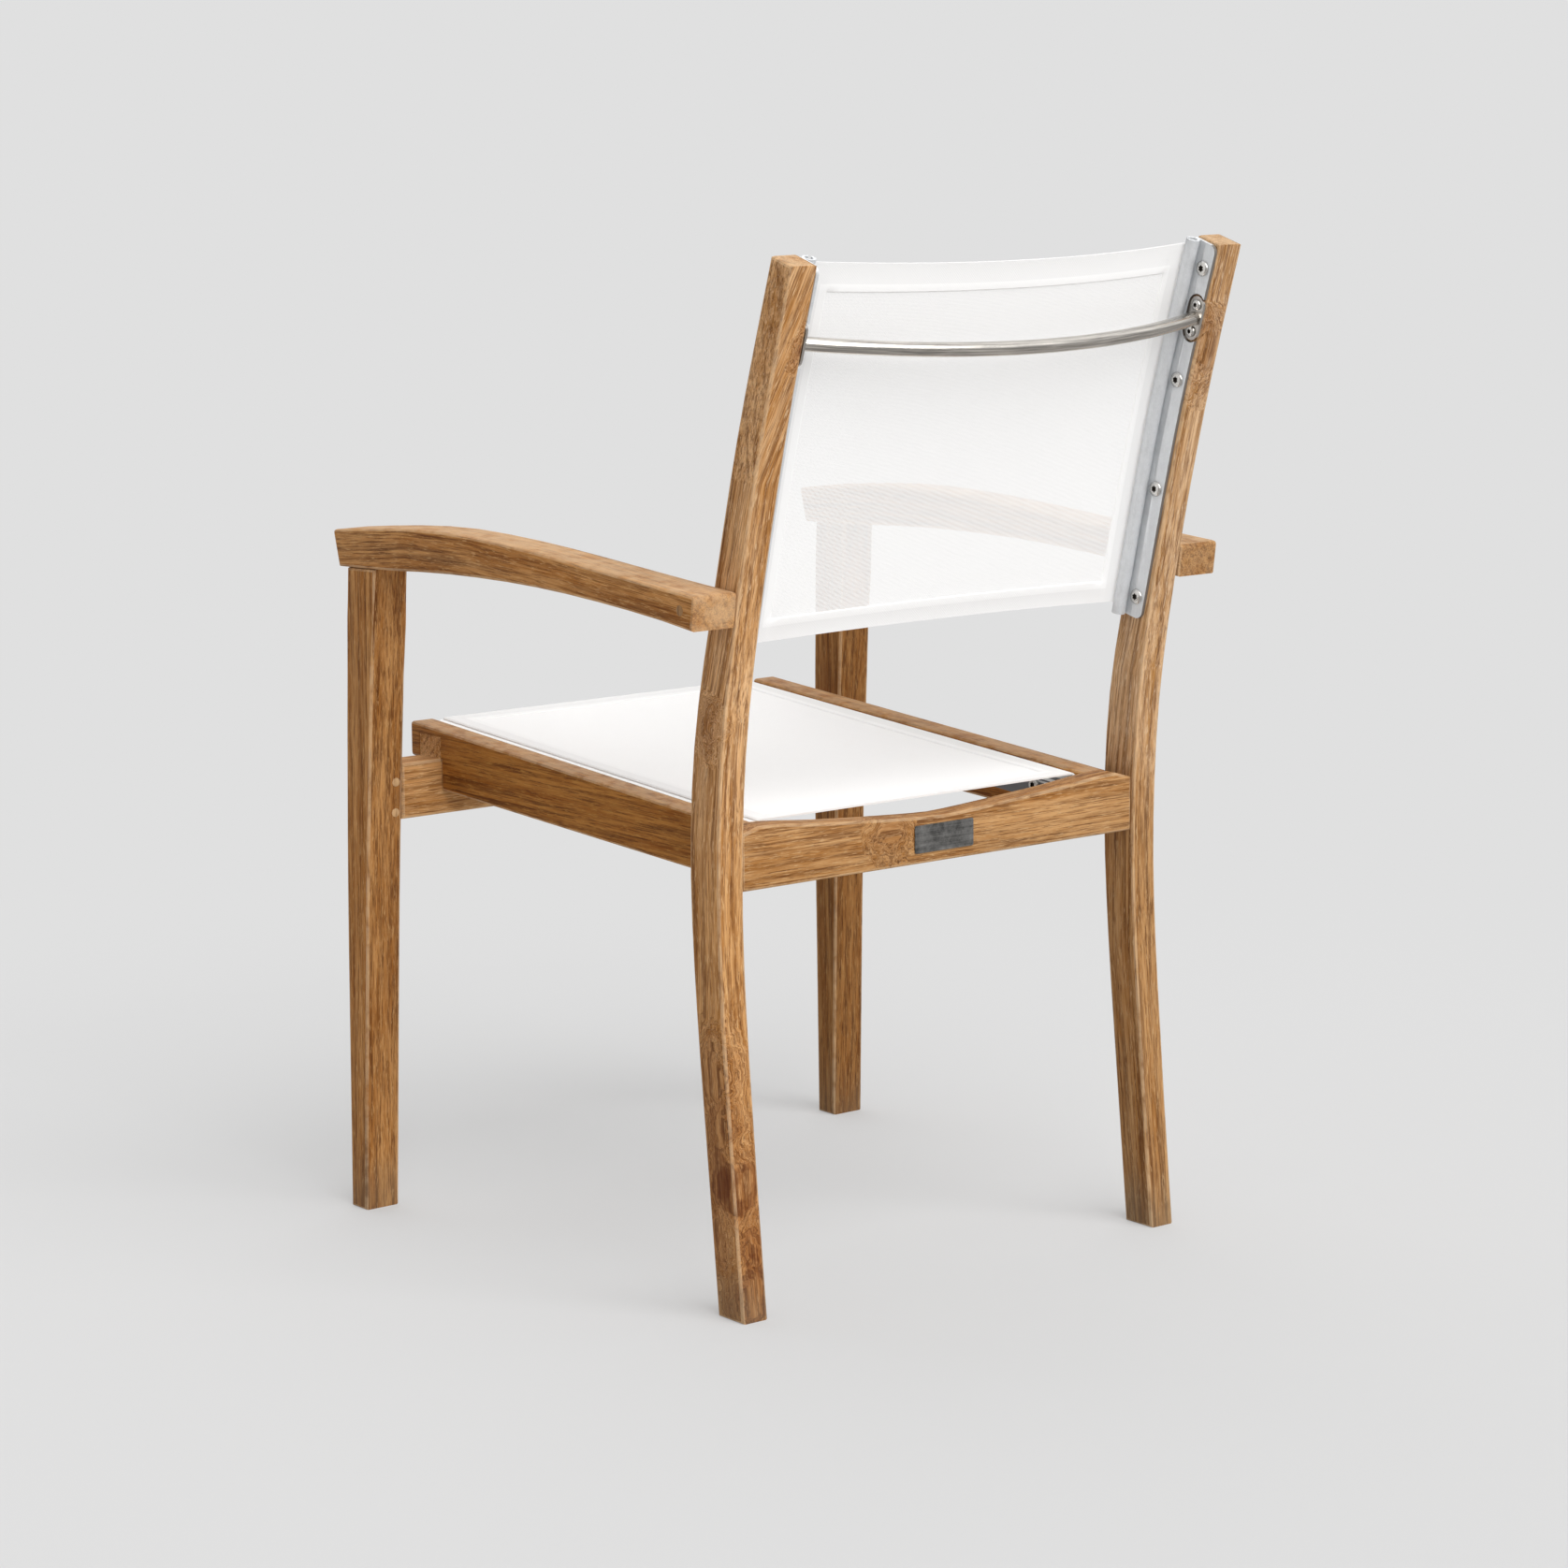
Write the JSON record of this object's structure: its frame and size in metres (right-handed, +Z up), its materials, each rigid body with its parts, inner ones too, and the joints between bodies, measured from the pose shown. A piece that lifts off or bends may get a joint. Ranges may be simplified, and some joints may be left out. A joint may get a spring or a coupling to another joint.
{
  "type": "sling patio armchair",
  "caption": "Stacking patio armchair: curved teak frame with bowed arms, mesh slings for seat and back stretched in slotted aluminium tracks, and a bowed steel brace bar behind the back.",
  "frame": {"origin": "on the floor, under the middle of the chair's width and depth", "axes": "+Z up, the chair's front faces -Y, the sitter's left is +X"},
  "size_m": [0.5824, 0.6292, 0.883],
  "materials": {
    "teak": "oiled, fine dark grain, lighter worn edges",
    "teak_end_grain": "oiled end grain",
    "aluminium": "satin anodised extrusion",
    "stainless_steel": "brushed",
    "dark_plate": "satin, bare",
    "sling_mesh": "open woven mesh, plain weave, hemmed",
    "keder_rod": "smooth"
  },
  "bodies": {
    "root": {"rear_post_left": "teak", "rear_post_right": "teak", "front_leg_left": "teak", "front_leg_right": "teak", "arm_left": "teak", "arm_right": "teak", "seat_rail_left": "teak", "seat_rail_right": "teak", "front_stretcher": "teak", "rear_rail": "teak", "nameplate": "dark_plate", "back_track_left": "aluminium", "back_track_right": "aluminium", "seat_track_left": "aluminium", "seat_track_right": "aluminium", "back_sling": "sling_mesh", "seat_sling": "sling_mesh", "back_keder_left": "keder_rod", "back_keder_right": "keder_rod", "seat_keder_left": "keder_rod", "seat_keder_right": "keder_rod", "brace_bar": "stainless_steel", "brace_plate_left": "stainless_steel", "brace_plate_right": "stainless_steel", "back_track_screw_left_1": "stainless_steel", "back_track_screw_right_1": "stainless_steel", "back_track_screw_left_2": "stainless_steel", "back_track_screw_right_2": "stainless_steel", "back_track_screw_left_3": "stainless_steel", "back_track_screw_right_3": "stainless_steel", "back_track_screw_left_4": "stainless_steel", "back_track_screw_right_4": "stainless_steel", "seat_track_screw_left_1": "stainless_steel", "seat_track_screw_right_1": "stainless_steel", "seat_track_screw_left_2": "stainless_steel", "seat_track_screw_right_2": "stainless_steel", "seat_track_screw_left_3": "stainless_steel", "seat_track_screw_right_3": "stainless_steel", "seat_track_screw_left_4": "stainless_steel", "seat_track_screw_right_4": "stainless_steel", "brace_screw_left_upper": "stainless_steel", "brace_screw_right_upper": "stainless_steel", "brace_screw_left_lower": "stainless_steel", "brace_screw_right_lower": "stainless_steel", "leg_dowel_left_lower": "teak_end_grain", "leg_dowel_right_lower": "teak_end_grain", "leg_dowel_left_upper": "teak_end_grain", "leg_dowel_right_upper": "teak_end_grain", "arm_bolt_left": "stainless_steel", "arm_bolt_right": "stainless_steel", "arm_plug_left": "teak_end_grain", "arm_plug_right": "teak_end_grain"}
  },
  "joints": []
}
